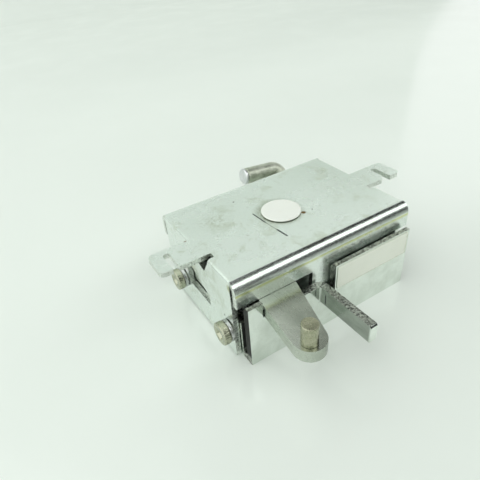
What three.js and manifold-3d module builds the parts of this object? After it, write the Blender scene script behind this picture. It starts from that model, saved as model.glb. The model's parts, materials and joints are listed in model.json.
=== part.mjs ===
// Pneumatic gripper: a sheet-metal box with a finger that an air cylinder swings towards a fixed jaw.
// Millimetres, +Z up, +X along the box, +Y towards the back. The origin is the centre of the tray's
// underside.

import * as THREE from 'three';
import { mergeVertices } from 'three/addons/utils/BufferGeometryUtils.js';
import Module from 'manifold-3d';

const wasm = await Module();
wasm.setup();

// ---------- Driving dimensions ----------

const GAP = 0.3;                 // clearance between pieces that touch
const RUNNING = 0.1;             // radial clearance of a running or close fit
const PAST = 1;                  // how far a cutting tool runs past the face it cuts

const BOX = { length: 80, width: 56.5, height: 35.7 };    // outside of the cover
const SHEET = { cover: 2, tray: 3 };
const HALF_X = BOX.length / 2;
const HALF_Y = BOX.width / 2;

const BEND = { outer: 4, inner: 2 };                      // the cover's front and back folds
const FOLD_SEGMENTS = 6;
const END_BEND = { outer: 1.4, inner: 0.3 };              // the cover's end folds
const COVER_SKIRT_Z = 25.8;                               // lower edge of the front and back flanges
const COVER_END_Z = 0.5;                                  // lower edge of the end flanges
const SKIRT_END_X = 39.8;
const END_PLATE_Y = 25;                                  // the end flanges stop short of the front and back
const TONGUE = { x0: -8, x1: 0.6, z: 18 };

const TAB = { reachLeft: 16.1, reachRight: 17.3, y0: -8, y1: 4, corner: 2.2 };
const TAB_SLOT = { from: 8.9, width: 2.5, yEnd: 1.3, rightLeadIn: 2.3 };
const END_WINDOW = { y0: -8.3, y1: 8.9, z0: 12.7, frontTop: 17, peakY: 5, peakZ: 23.4, backTop: 20.4 };
const TAB_NOTCH = { low: [-6.9, 28.3], front: [-10.6, 34.2], back: [1, 30.8] };

const TRAY = {
  halfX: HALF_X - SHEET.cover - GAP,
  wallIn: HALF_Y + 0.5,
  wallOut: HALF_Y + 0.5 + SHEET.tray,
  wallTop: 26.7,
  endTop: 16.6,
  endY: 26.4,
  floorTop: SHEET.tray,
};
const LEDGE = { x0: -31.7, x1: -0.1, z: 20.8 };           // the window that the finger comes out of
const ROLLED_EDGE = { width: 1.25, depth: 1.8 };          // the rounded inner rim of the front wall's top
const JAW = { left: -7, bottom: 13.6, tipY: -55.75, bend: 0.8 };

const CAP_SCREW = {
  headR: 4.35, headH: 2.6, shankR: 2.5, flats: 3.8, socketDepth: 1.6, length: 8.6, z: 11.6,
};
const CAP_SCREW_Y = { front: -22, rear: 14 };
const LOCK_WASHER = { r: 4.25, thick: 1.2, split: 0.7 };

const PIVOT = { x: -18, y: 1.75, r: 4, flangeR: 6.5, flangeTop: 5, top: 30 };
const LEVER = { bottom: 20.95, top: 25.65, hubR: 9.5, holeR: 6.2, bushR: 5.9 };
const LEVER_ARM = {
  tip: new THREE.Vector2(-28, -50.6),
  tipR: 5.65,
  rootLeft: new THREE.Vector2(-31.25, -29),
  rootRight: new THREE.Vector2(-15.8, -29),
};
const GRIP_PIN = { x: -29.1, y: -52, r: 2.75, top: 33.45, chamfer: 0.25, tenonR: 1.9 };

const CYLINDER = { y: 17.75, z: 23.3, outer: 7.5, bore: 6.4 };
const TAIL = { halfWidth: 4.2, slotR: 2.25, slotSlack: 0.8 };
const CLEVIS = { x0: -23.5, root: -11.5, x1: -8.4, halfY: 4.5, halfZ: 5, slot: 2.7, pinR: 2 };
const FRONT_CAP = { x0: -6, shoulder: -2, x1: 2 };
const TUBE = { x0: -1.7, x1: 23.7 };
const REAR_CAP = { x0: 20.5, shoulder: 24, x1: 32 };
const PISTON = { x0: 10, x1: 17, r: 6.3, seal0: 12.5, seal1: 14.5, grooveR: 4.9 };
const ROD_R = 2.5;
const PISTON_NUT = { flats: 7, x0: 17.3, x1: 19.4 };
const PORT_X = 27.5;
const MOUNT = { x0: 6, x1: 16, y0: 9.6, y1: 26, top: 32.4, screwR: 2, headR: 3.7 };

const SPRING = { z: 12, coilR: 1.7, wireR: 0.4, turns: 9, hookR: 2.5 };
const SPRING_STUD = { x: -31.4, y: -14.75, r: 1.8, bottom: 9.6, earR: 4.2 };
const SPRING_ANCHOR = { x: -31, y: 22.6, r: 1.8, top: 14.6 };

const FITTING = { threadR: 2.5, bodyR: 4, flats: 9, boreR: 1.6, y0: 21.5, y1: 25.6, hexY: 32.05, end: 35.05 };
const PIPE = {
  r: 3.8, boreR: 2.6, bend: 4,
  start: new THREE.Vector3(27.5, 35.35, 23.3),
  corner: new THREE.Vector3(27.5, 37.3, 23.3),
  elbow: new THREE.Vector3(27.5, 41.9, 27.9),
  end: new THREE.Vector3(9.2, 41.9, 29.82),
};
const PIPE_PLUG = { flange: 1.3, stem: 5, stemR: 2.2 };

const PLUG = { x: -1.9, y: -1.7, r: 7.8, holeR: 5.2, flange: 0.7, barbR: 4.9 };
const LABEL = { x0: 0.6, x1: 36.9, z0: 15.7, z1: 25.9, thick: 0.25, gap: 0.05 };

// ---------- Materials ----------

const metal = (color, roughness) => new THREE.MeshStandardMaterial({ color, roughness, metalness: 1 });
const plain = (color, roughness) => new THREE.MeshStandardMaterial({ color, roughness, metalness: 0 });

const ZINC = metal(0xc9cec6, 0.35);
const STEEL = metal(0x9fa39f, 0.3);
const SCREW_ZINC = metal(0xa8a58a, 0.35);
const BRASSY = metal(0xa89f7c, 0.3);
const BRONZE = metal(0x9a7440, 0.4);
const ALUMINIUM = metal(0xc4c7c8, 0.4);
const SPRING_STEEL = metal(0x8c8f90, 0.3);
const RUBBER = plain(0x1c1c1c, 0.8);
const WHITE_PLASTIC = plain(0xf0f1ec, 0.4);
const PAPER = plain(0xd9dcc6, 0.7);

// ---------- Solid helpers ----------

function toSolid(geometry) {
  const bare = geometry.clone();
  bare.deleteAttribute('normal');
  bare.deleteAttribute('uv');
  const merged = mergeVertices(bare, 1e-5);
  return new wasm.Manifold(new wasm.Mesh({
    numProp: 3,
    vertProperties: new Float32Array(merged.attributes.position.array),
    triVerts: new Uint32Array(merged.index.array),
  }));
}

function toGeometry(solid) {
  const mesh = solid.getMesh();
  const geometry = new THREE.BufferGeometry();
  geometry.setAttribute('position', new THREE.BufferAttribute(new Float32Array(mesh.vertProperties), 3));
  geometry.setIndex(new THREE.BufferAttribute(new Uint32Array(mesh.triVerts), 1));
  geometry.computeVertexNormals();
  return geometry;
}

function box(x0, x1, y0, y1, z0, z1) {
  const geometry = new THREE.BoxGeometry(x1 - x0, y1 - y0, z1 - z0);
  geometry.translate((x0 + x1) / 2, (y0 + y1) / 2, (z0 + z1) / 2);
  return toSolid(geometry);
}

// A prism over a flat outline in XY, from z0 to z1.
function prism(shape, z0, z1, curveSegments = 12) {
  const geometry = new THREE.ExtrudeGeometry(shape, { depth: z1 - z0, bevelEnabled: false, curveSegments });
  geometry.translate(0, 0, z0);
  return toSolid(geometry);
}

// A solid of revolution about Z from [radius, z] pairs; the outline starts and ends on the axis or closes.
function turned(points, segments = 24) {
  return toSolid(new THREE.LatheGeometry(points.map(([r, z]) => new THREE.Vector2(r, z)), segments)
    .rotateX(Math.PI / 2));
}

const rod = (r, z0, z1, segments = 24) => turned([[0, z0], [r, z0], [r, z1], [0, z1]], segments);
const ring = (r0, r1, z0, z1, segments = 24) =>
  turned([[r0, z0], [r1, z0], [r1, z1], [r0, z1], [r0, z0]], segments);

// Turns a solid built along +Z so that it runs along +X, or along +Y.
const alongX = (solid) => solid.rotate([0, 90, 0]);
const alongY = (solid) => solid.rotate([-90, 0, 0]);

const move = (solid, x, y, z = 0) => solid.translate([x, y, z]);
const cut = (solid, ...tools) => tools.reduce((rest, tool) => rest.subtract(tool), solid);
const join = (first, ...others) => others.reduce((sum, other) => sum.add(other), first);

function polygon(points) {
  return new THREE.Shape(points.map(([x, y]) => new THREE.Vector2(x, y)));
}

function hexagon(flats) {
  const r = flats / Math.sqrt(3);
  const corner = (k) => [r * Math.cos(k * Math.PI / 3), r * Math.sin(k * Math.PI / 3)];
  return polygon([0, 1, 2, 3, 4, 5].map(corner));
}

function roundedRect(x0, x1, y0, y1, r) {
  const shape = new THREE.Shape();
  shape.moveTo(x0 + r, y0);
  shape.lineTo(x1 - r, y0).absarc(x1 - r, y0 + r, r, -Math.PI / 2, 0);
  shape.lineTo(x1, y1 - r).absarc(x1 - r, y1 - r, r, 0, Math.PI / 2);
  shape.lineTo(x0 + r, y1).absarc(x0 + r, y1 - r, r, Math.PI / 2, Math.PI);
  shape.lineTo(x0, y0 + r).absarc(x0 + r, y0 + r, r, Math.PI, 1.5 * Math.PI);
  return shape;
}

// ---------- Cover ----------

// A folded sheet section: a flat top of half width w with a flange down each side, folded to radius bend.
function foldedSection(halfWidth, bottom, bend) {
  const top = BOX.height;
  const t = SHEET.cover;
  const shape = new THREE.Shape();
  shape.moveTo(-halfWidth, bottom);
  shape.lineTo(-halfWidth + t, bottom);
  shape.lineTo(-halfWidth + t, top - t - bend.inner);
  shape.absarc(-halfWidth + t + bend.inner, top - t - bend.inner, bend.inner, Math.PI, Math.PI / 2, true);
  shape.lineTo(halfWidth - t - bend.inner, top - t);
  shape.absarc(halfWidth - t - bend.inner, top - t - bend.inner, bend.inner, Math.PI / 2, 0, true);
  shape.lineTo(halfWidth - t, bottom);
  shape.lineTo(halfWidth, bottom);
  shape.lineTo(halfWidth, top - bend.outer);
  shape.absarc(halfWidth - bend.outer, top - bend.outer, bend.outer, 0, Math.PI / 2);
  shape.lineTo(-halfWidth + bend.outer, top);
  shape.absarc(-halfWidth + bend.outer, top - bend.outer, bend.outer, Math.PI / 2, Math.PI);
  return shape;
}

// The section drawn in (across, up), extruded between two places along the other level axis.
function foldAlongX(shape, x0, x1) {
  const geometry = new THREE.ExtrudeGeometry(shape,
    { depth: x1 - x0, bevelEnabled: false, curveSegments: FOLD_SEGMENTS });
  geometry.rotateX(Math.PI / 2).rotateZ(Math.PI / 2).translate(x0, 0, 0);
  return toSolid(geometry);
}

function foldAlongY(shape, y0, y1) {
  const geometry = new THREE.ExtrudeGeometry(shape,
    { depth: y1 - y0, bevelEnabled: false, curveSegments: FOLD_SEGMENTS });
  geometry.rotateX(Math.PI / 2).translate(0, y1, 0);
  return toSolid(geometry);
}

function tabPlate(side) {
  const end = HALF_X + (side > 0 ? TAB.reachRight : TAB.reachLeft);
  const plate = prism(roundedRect(HALF_X - BEND.outer * 2, end, TAB.y0, TAB.y1, TAB.corner),
    BOX.height - SHEET.cover, BOX.height, 6);
  const x0 = HALF_X + TAB_SLOT.from;
  const r = TAB_SLOT.width / 2;
  const mouth = box(x0, x0 + TAB_SLOT.width, TAB.y0 - PAST, TAB_SLOT.yEnd - r, 0, BOX.height + PAST);
  const slotEnd = move(rod(r, 0, BOX.height + PAST, 20), x0 + r, TAB_SLOT.yEnd - r);
  const slotted = cut(plate, mouth, slotEnd);
  return side > 0 ? cut(slotted, leadIn(x0)) : slotted.mirror([1, 0, 0]);
}

// The bevelled corner at the mouth of the right tab's slot.
function leadIn(slotX) {
  const reach = TAB_SLOT.rightLeadIn + PAST;
  const y = TAB.y0 - PAST;
  const outline = polygon([[slotX - reach, y], [slotX + PAST, y], [slotX + PAST, y + reach + PAST]]);
  return prism(outline, 0, BOX.height + PAST);
}

// The slanted opening in an end flange, and the notch beside and under the hook tab's root.
function endWindow(side) {
  const x0 = HALF_X - SHEET.cover - PAST;
  const x1 = HALF_X + PAST;
  const under = BOX.height - SHEET.cover - 0.01;
  const above = BOX.height + PAST;
  const { y0, y1, z0, frontTop, peakY, peakZ, backTop } = END_WINDOW;
  const { low, front, back } = TAB_NOTCH;
  const outline = polygon([[y0, z0], [y1, z0], [y1, backTop], [peakY, peakZ], [y0, frontTop]]);
  const opening = foldAlongX(outline, x0, x1);
  const notch = foldAlongX(polygon([low, back, [back[0], under], [TAB.y0, under], [TAB.y0, above],
    [front[0], above], front]), x0, x1);
  const right = join(opening, notch);
  return side > 0 ? right : right.mirror([1, 0, 0]);
}

function capScrewHoles(side) {
  return Object.values(CAP_SCREW_Y).map((y) =>
    move(alongX(rod(CAP_SCREW.shankR + RUNNING, 0, SHEET.cover + SHEET.tray + 2 * PAST)),
      side > 0 ? TRAY.halfX - SHEET.tray - PAST : -HALF_X - PAST, y, CAP_SCREW.z));
}

// The open-topped notch that the inlet fitting passes through in the back walls.
function inletNotch(top) {
  const r = FITTING.bodyR + 0.5;
  const y0 = HALF_Y - SHEET.cover - PAST;
  const depth = TRAY.wallOut + PAST - y0;
  return join(
    move(alongY(rod(r, 0, depth)), PORT_X, y0, CYLINDER.z),
    box(PORT_X - r, PORT_X + r, y0, y0 + depth, CYLINDER.z, top),
  );
}

function cover() {
  const corner = HALF_X - END_BEND.outer;
  const endSpace = (x0, x1) => box(x0, x1, -END_PLATE_Y, END_PLATE_Y, 0, BOX.height + PAST);
  const lengthwise = cut(foldAlongX(foldedSection(HALF_Y, COVER_SKIRT_Z, BEND), -SKIRT_END_X, SKIRT_END_X),
    endSpace(corner, HALF_X + PAST), endSpace(-HALF_X - PAST, -corner));
  const crosswise = foldAlongY(foldedSection(HALF_X, COVER_END_Z, END_BEND), -END_PLATE_Y, END_PLATE_Y);
  const tongue = box(TONGUE.x0, TONGUE.x1, -HALF_Y, -HALF_Y + SHEET.cover, TONGUE.z, COVER_SKIRT_Z + PAST);
  const folded = join(lengthwise, crosswise, tabPlate(1), tabPlate(-1), tongue);
  return cut(folded, endWindow(1), endWindow(-1), ...capScrewHoles(1), ...capScrewHoles(-1),
    inletNotch(CYLINDER.z + 5), move(rod(PLUG.holeR, 0, BOX.height + PAST, 40), PLUG.x, PLUG.y));
}

function centrePlug() {
  const under = BOX.height - SHEET.cover - GAP;
  const top = BOX.height + GAP;
  return move(turned([
    [0, under - 3], [PLUG.barbR - 0.9, under - 3], [PLUG.barbR - 0.3, under - 1.6], [PLUG.barbR - 0.3, top],
    [PLUG.r, top], [PLUG.r - 0.15, top + PLUG.flange * 0.7], [PLUG.r - 0.6, top + PLUG.flange],
    [0, top + PLUG.flange],
  ], 36), PLUG.x, PLUG.y);
}

// ---------- Tray with the fixed jaw ----------

// The strip that turns out of the front wall: an arc in plan, then a straight bar to the tip.
function fixedJaw() {
  const inner = JAW.bend;
  const outer = JAW.bend + SHEET.tray;
  const cx = JAW.left - inner;
  const cy = -TRAY.wallOut - inner;
  const shape = new THREE.Shape();
  shape.moveTo(cx - PAST, cy + outer);
  shape.lineTo(cx - PAST, cy + inner);
  shape.lineTo(cx, cy + inner);
  shape.absarc(cx, cy, inner, Math.PI / 2, 0, true);
  shape.lineTo(cx + inner, JAW.tipY);
  shape.lineTo(cx + outer, JAW.tipY);
  shape.lineTo(cx + outer, cy);
  shape.absarc(cx, cy, outer, 0, Math.PI / 2);
  return prism(shape, JAW.bottom, LEDGE.z, 10);
}

function baseTray() {
  const { halfX, wallIn, wallOut, wallTop, endTop, endY, floorTop } = TRAY;
  const floor = box(-halfX, halfX, -wallOut, wallOut, 0, floorTop);
  const front = box(-halfX, halfX, -wallOut, -wallIn, 0, wallTop);
  const back = box(-halfX, halfX, wallIn, wallOut, 0, wallTop);
  const endWall = (x0) => box(x0, x0 + SHEET.tray, -endY, endY, 0, endTop);
  const body = join(floor, front, back, endWall(-halfX), endWall(halfX - SHEET.tray));
  const rimY = -wallIn - ROLLED_EDGE.width;
  const rimZ = wallTop - ROLLED_EDGE.depth;
  const rolledEdge = foldAlongX(polygon([[-wallIn + PAST, wallTop + PAST], [rimY, wallTop + PAST],
    [rimY, wallTop], [-wallIn, rimZ], [-wallIn + PAST, rimZ]]), -halfX - PAST, halfX + PAST);
  const fingerWindow = box(LEDGE.x0, LEDGE.x1, -wallOut - PAST, -wallIn + PAST, LEDGE.z, wallTop + PAST);
  const bendStart = JAW.left - JAW.bend;
  const stripSlot = box(bendStart, LEDGE.x1, -wallOut - PAST, -wallIn + PAST, JAW.bottom - GAP, wallTop);
  const postHole = move(rod(PIVOT.r + GAP, -PAST, floorTop + PAST), PIVOT.x, PIVOT.y);
  const anchorHole = move(rod(SPRING_ANCHOR.r + GAP, -PAST, floorTop + PAST, 20),
    SPRING_ANCHOR.x, SPRING_ANCHOR.y);
  const mountHoles = mountScrewYs().flatMap((y) => [
    move(rod(MOUNT.screwR + GAP, -PAST, floorTop + PAST, 20), mountScrewX(), y),
    move(turned([[0, -PAST], [MOUNT.headR + PAST + GAP, -PAST], [MOUNT.screwR + GAP, 2.3], [0, 2.3]], 24),
      mountScrewX(), y),
  ]);
  return join(cut(body, rolledEdge, fingerWindow, stripSlot, postHole, anchorHole, ...mountHoles,
    ...capScrewHoles(1), ...capScrewHoles(-1), inletNotch(wallTop + PAST)), fixedJaw());
}

// ---------- Fasteners ----------

// Built with the head's face at z = 0 and the shank running to +Z.
function capScrewSolid() {
  const { headR, headH, shankR, flats, socketDepth, length } = CAP_SCREW;
  const screw = turned([[0, 0], [headR - 0.5, 0], [headR, 0.5], [headR, headH], [shankR, headH],
    [shankR, headH + length - 0.5], [shankR - 0.5, headH + length], [0, headH + length]]);
  return cut(screw, prism(hexagon(flats), -PAST, socketDepth));
}

function lockWasher(side, y) {
  const { r, thick, split } = LOCK_WASHER;
  const washer = cut(ring(CAP_SCREW.shankR + GAP, r, 0, thick),
    box(-split / 2, split / 2, 0, r + PAST, -PAST, thick + PAST).rotate([0, 0, -60]));
  const right = move(alongX(washer), HALF_X + GAP, y, CAP_SCREW.z);
  return side > 0 ? right : right.mirror([1, 0, 0]);
}

function capScrew(side, y) {
  const faceX = HALF_X + GAP + LOCK_WASHER.thick + GAP + CAP_SCREW.headH;
  const along = alongX(capScrewSolid());
  const placed = side < 0 ? move(along, -faceX, 0) : move(along.mirror([1, 0, 0]), faceX, 0);
  return move(placed, 0, y, CAP_SCREW.z);
}

const mountScrewX = () => (MOUNT.x0 + MOUNT.x1) / 2;
const mountScrewYs = () => [MOUNT.y0 + 3.4, MOUNT.y1 - 3.4];

function mountScrew(y) {
  const { screwR, headR } = MOUNT;
  const screw = turned([[0, 0.1], [headR - 0.2, 0.1], [headR - 0.2, 0.3], [screwR, 2], [screwR, 12],
    [0, 12]], 20);
  return move(screw, mountScrewX(), y);
}

// ---------- Pivot and lever ----------

function pivotPost() {
  const { r, flangeR, flangeTop, top } = PIVOT;
  return move(turned([
    [0, 0.2], [r, 0.2], [r, SHEET.tray + GAP], [flangeR, SHEET.tray + GAP], [flangeR, flangeTop],
    [r, flangeTop], [r, 27.3], [r - 0.8, 27.3], [r - 0.8, 28.7], [r, 28.7], [r, top - 0.6],
    [r - 0.6, top], [0, top],
  ], 32), PIVOT.x, PIVOT.y);
}

const pivotSpacer = () => move(
  ring(PIVOT.r + GAP, PIVOT.flangeR, PIVOT.flangeTop + GAP, LEVER.bottom - GAP), PIVOT.x, PIVOT.y);
const leverBush = () => move(
  ring(PIVOT.r + RUNNING, LEVER.bushR, LEVER.bottom, LEVER.top, 32), PIVOT.x, PIVOT.y);
const leverWasher = () => move(
  ring(PIVOT.r + GAP, PIVOT.flangeR + 1, LEVER.top + GAP, LEVER.top + GAP + 1), PIVOT.x, PIVOT.y);

function pivotClip() {
  const c = ring(PIVOT.r - 0.5, PIVOT.r + 1.9, 27.5, 28.5);
  return move(cut(c, box(-1.6, 1.6, 0, PIVOT.r + 3, 27, 29)), PIVOT.x, PIVOT.y);
}

// The tapered finger with its round tip: each edge is tangent to the tip circle.
function leverArm() {
  const { tip, tipR, rootLeft, rootRight } = LEVER_ARM;
  const tangent = (from, side) =>
    Math.atan2(from.y - tip.y, from.x - tip.x) + side * Math.acos(tipR / tip.distanceTo(from));
  const leftEnd = tangent(rootLeft, 1);
  const rightEnd = tangent(rootRight, -1) + 2 * Math.PI;
  const shape = new THREE.Shape();
  shape.moveTo(PIVOT.x - LEVER.hubR + 1, PIVOT.y);
  shape.lineTo(rootLeft.x, rootLeft.y);
  shape.absarc(tip.x, tip.y, tipR, leftEnd, rightEnd, false);
  shape.lineTo(rootRight.x, rootRight.y);
  shape.lineTo(PIVOT.x + LEVER.hubR - 0.5, PIVOT.y);
  return prism(shape, LEVER.bottom, LEVER.top, 16);
}

function lever() {
  const { bottom, top } = LEVER;
  const disc = (x, y, r, segments = 28) => move(rod(r, bottom, top, segments), x, y);
  const through = (x, y, r, segments = 28) => move(rod(r, bottom - PAST, top + PAST, segments), x, y);
  const tailEnd = CYLINDER.y + 1.2;
  const tail = box(PIVOT.x - TAIL.halfWidth, PIVOT.x + TAIL.halfWidth, PIVOT.y, tailEnd, bottom, top);
  const ear = prism(polygon([
    [SPRING_STUD.x - SPRING_STUD.earR, SPRING_STUD.y], [LEVER_ARM.rootLeft.x + 0.4, -24.5],
    [PIVOT.x, -20], [PIVOT.x, PIVOT.y + 4], [SPRING_STUD.x - 1, SPRING_STUD.y + SPRING_STUD.earR],
  ]), bottom, top);
  const plate = join(leverArm(), disc(PIVOT.x, PIVOT.y, LEVER.hubR), tail,
    disc(PIVOT.x, tailEnd, TAIL.halfWidth), ear, disc(SPRING_STUD.x, SPRING_STUD.y, SPRING_STUD.earR, 24));
  const y0 = CYLINDER.y - TAIL.slotSlack * 0.3;
  const y1 = CYLINDER.y + TAIL.slotSlack;
  return cut(plate,
    through(PIVOT.x, PIVOT.y, LEVER.holeR),
    through(PIVOT.x, y0, TAIL.slotR, 28), through(PIVOT.x, y1, TAIL.slotR, 28),
    box(PIVOT.x - TAIL.slotR, PIVOT.x + TAIL.slotR, y0, y1, bottom - PAST, top + PAST),
    through(GRIP_PIN.x, GRIP_PIN.y, GRIP_PIN.tenonR + GAP, 24),
    through(SPRING_STUD.x, SPRING_STUD.y, SPRING_STUD.r + GAP, 24));
}

function gripPin() {
  const { x, y, r, top, chamfer, tenonR } = GRIP_PIN;
  const foot = LEVER.top + 0.1;
  return move(turned([[0, LEVER.bottom + 0.1], [tenonR, LEVER.bottom + 0.1], [tenonR, foot], [r, foot],
    [r, top - chamfer], [r - chamfer, top], [0, top]], 40), x, y);
}

const springStud = () => {
  const { x, y, r, bottom } = SPRING_STUD;
  return move(turned([[0, bottom], [r + 0.6, bottom], [r + 0.6, bottom + 0.8], [r, bottom + 0.8],
    [r, LEVER.top - 0.1], [0, LEVER.top - 0.1]], 20), x, y);
};

const springAnchor = () => {
  const { x, y, r, top } = SPRING_ANCHOR;
  return move(turned([[0, 0.2], [r, 0.2], [r, SHEET.tray + GAP], [r + 1, SHEET.tray + GAP], [r + 1, 5],
    [r, 5], [r, top - 0.8], [r + 0.6, top - 0.8], [r + 0.6, top], [0, top]], 20), x, y);
};

// A tension spring: a hook round the anchor, a close coil, and a hook round the stud.
function returnSpring() {
  const from = new THREE.Vector3(SPRING_ANCHOR.x, SPRING_ANCHOR.y, SPRING.z);
  const to = new THREE.Vector3(SPRING_STUD.x, SPRING_STUD.y, SPRING.z);
  const axis = to.clone().sub(from).normalize();
  const side = new THREE.Vector3(-axis.y, axis.x, 0);
  const up = new THREE.Vector3(0, 0, 1);
  const length = from.distanceTo(to);
  const lead = SPRING.hookR + 2.2;
  const at = (s, across, high) => from.clone().addScaledVector(axis, s)
    .addScaledVector(side, across).addScaledVector(up, high);
  const points = [];
  const HOOK_STEPS = 8;
  for (let k = 0; k <= HOOK_STEPS; k += 1) {
    const a = Math.PI * (1.35 - 1.1 * k / HOOK_STEPS);
    points.push(at(SPRING.hookR * Math.cos(a), -SPRING.hookR * Math.sin(a), 0));
  }
  const steps = SPRING.turns * 10;
  for (let k = 0; k <= steps; k += 1) {
    const a = 2 * Math.PI * SPRING.turns * k / steps;
    points.push(at(lead + (length - 2 * lead) * k / steps,
      -SPRING.coilR * Math.cos(a), SPRING.coilR * Math.sin(a)));
  }
  for (let k = HOOK_STEPS; k >= 0; k -= 1) {
    const a = Math.PI * (1.35 - 1.1 * k / HOOK_STEPS);
    points.push(at(length - SPRING.hookR * Math.cos(a), -SPRING.hookR * Math.sin(a), 0));
  }
  const path = new THREE.CatmullRomCurve3(points);
  const wire = new THREE.Shape();
  wire.absarc(0, 0, SPRING.wireR, 0, 2 * Math.PI);
  return toSolid(new THREE.ExtrudeGeometry(wire,
    { steps: steps + 22, extrudePath: path, curveSegments: 3, bevelEnabled: false }));
}

// ---------- Air cylinder ----------

const onCylinderAxis = (solid) => move(alongX(solid), 0, CYLINDER.y, CYLINDER.z);

const cylinderTube = () => onCylinderAxis(ring(CYLINDER.bore, CYLINDER.outer, TUBE.x0, TUBE.x1, 40));

function cylinderFrontCap() {
  const { x0, shoulder, x1 } = FRONT_CAP;
  const bore = ROD_R + RUNNING;
  const groove = 4.3;
  return onCylinderAxis(turned([
    [bore, x0], [CYLINDER.outer - 1, x0], [CYLINDER.outer, x0 + 1], [CYLINDER.outer, shoulder],
    [CYLINDER.bore - GAP, shoulder], [CYLINDER.bore - GAP, x1], [bore, x1],
    [bore, x0 + 3.2], [groove, x0 + 3.2], [groove, x0 + 1], [bore, x0 + 1], [bore, x0],
  ]));
}

const rodSeal = () => onCylinderAxis(
  ring(ROD_R + RUNNING, 4.0, FRONT_CAP.x0 + 1.3, FRONT_CAP.x0 + 2.9));

function cylinderRearCap() {
  const { x0, shoulder, x1 } = REAR_CAP;
  const bored = turned([
    [0, PORT_X + 1], [2, PORT_X + 1], [2, x0], [CYLINDER.bore - GAP, x0], [CYLINDER.bore - GAP, shoulder],
    [CYLINDER.outer, shoulder], [CYLINDER.outer, x1 - 1], [CYLINDER.outer - 1, x1], [0, x1],
  ]);
  const port = move(alongY(rod(FITTING.threadR + GAP, 0, 10, 24)), PORT_X, 0, 0);
  return move(cut(alongX(bored), port), 0, CYLINDER.y, CYLINDER.z);
}

function piston() {
  const { x0, x1, r, seal0, seal1, grooveR } = PISTON;
  const bore = ROD_R + GAP;
  return onCylinderAxis(turned([
    [bore, x0], [r - 0.4, x0], [r, x0 + 0.4], [r, seal0], [grooveR, seal0], [grooveR, seal1], [r, seal1],
    [r, x1 - 0.4], [r - 0.4, x1], [bore, x1], [bore, x0],
  ]));
}

const pistonSeal = () => onCylinderAxis(
  ring(PISTON.grooveR + GAP, CYLINDER.bore - 0.05, PISTON.seal0 + GAP, PISTON.seal1 - GAP, 40));

function pistonNut() {
  const { flats, x0, x1 } = PISTON_NUT;
  return onCylinderAxis(cut(prism(hexagon(flats), x0, x1), rod(ROD_R + GAP, x0 - PAST, x1 + PAST)));
}

const pistonRod = () => onCylinderAxis(turned([
  [0, CLEVIS.root + 0.5], [ROD_R, CLEVIS.root + 0.5], [ROD_R, PISTON_NUT.x1 + 0.2],
  [0, PISTON_NUT.x1 + 0.2],
]));

function rodClevis() {
  const { x0, root, x1, halfY, halfZ, slot, pinR } = CLEVIS;
  const block = box(x0, x1, -halfY, halfY, -halfZ, halfZ);
  const fork = cut(block,
    box(x0 - PAST, root, -halfY - PAST, halfY + PAST, -slot, slot),
    alongX(rod(ROD_R + GAP, root - PAST, x1 + PAST)),
    move(rod(pinR + GAP, -halfZ - PAST, halfZ + PAST, 24), PIVOT.x, 0));
  return move(fork, 0, CYLINDER.y, CYLINDER.z);
}

function clevisPin() {
  const { halfZ, pinR } = CLEVIS;
  return move(turned([[0, -halfZ - 1.6], [pinR - 0.4, -halfZ - 1.6], [pinR, -halfZ - 1.2],
    [pinR, halfZ + GAP], [pinR + 1, halfZ + GAP], [pinR + 1, halfZ + 1.4], [0, halfZ + 1.4]], 24),
  PIVOT.x, CYLINDER.y, CYLINDER.z);
}

function cylinderMount() {
  const { x0, x1, y0, y1, top, screwR } = MOUNT;
  const block = box(x0, x1, y0, y1, SHEET.tray + GAP, top);
  const bore = onCylinderAxis(rod(CYLINDER.outer + GAP, x0 - PAST, x1 + PAST, 40));
  return cut(block, bore, ...mountScrewYs().map((y) =>
    move(rod(screwR + GAP, 0, 12.4, 20), mountScrewX(), y)));
}

// ---------- Air inlet ----------

function inletFitting() {
  const { threadR, bodyR, flats, boreR, y0, y1, hexY, end } = FITTING;
  const body = turned([[0, y0], [threadR, y0], [threadR, y1], [bodyR, y1], [bodyR, end], [0, end]], 28);
  const hex = prism(hexagon(flats), hexY, end);
  const bored = cut(join(body, hex), rod(boreR, y0 - PAST, end + PAST, 20));
  return move(alongY(bored), PORT_X, 0, CYLINDER.z);
}

// A path through the corner points, with an arc of the given radius at each inner corner.
function roundedPath(points, radius, steps) {
  const path = [points[0]];
  for (let k = 1; k < points.length - 1; k += 1) {
    const back = points[k - 1].clone().sub(points[k]).normalize();
    const ahead = points[k + 1].clone().sub(points[k]).normalize();
    const half = back.angleTo(ahead) / 2;
    const inward = back.clone().add(ahead).normalize();
    const centre = points[k].clone().addScaledVector(inward, radius / Math.sin(half));
    const from = points[k].clone().addScaledVector(back, radius / Math.tan(half)).sub(centre);
    const to = points[k].clone().addScaledVector(ahead, radius / Math.tan(half)).sub(centre);
    const sweep = from.angleTo(to);
    for (let n = 0; n <= steps; n += 1) {
      const a = sweep * n / steps;
      path.push(centre.clone().addScaledVector(from, Math.sin(sweep - a) / Math.sin(sweep))
        .addScaledVector(to, Math.sin(a) / Math.sin(sweep)));
    }
  }
  path.push(points[points.length - 1]);
  return path;
}

// Out of the fitting towards the back and up, then along the back wall towards -X.
function airInletPipe() {
  const { r, boreR, bend, start, corner, elbow, end } = PIPE;
  const route = roundedPath([start, corner, elbow, end], bend, 8);
  const path = new THREE.CurvePath();
  route.slice(1).forEach((point, k) => path.add(new THREE.LineCurve3(route[k], point)));
  const wall = new THREE.Shape();
  wall.absarc(0, 0, r, 0, 2 * Math.PI);
  const hole = new THREE.Path();
  hole.absarc(0, 0, boreR, 0, 2 * Math.PI);
  wall.holes.push(hole);
  return toSolid(new THREE.ExtrudeGeometry(wall,
    { steps: 30, extrudePath: path, curveSegments: 8, bevelEnabled: false }));
}

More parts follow.
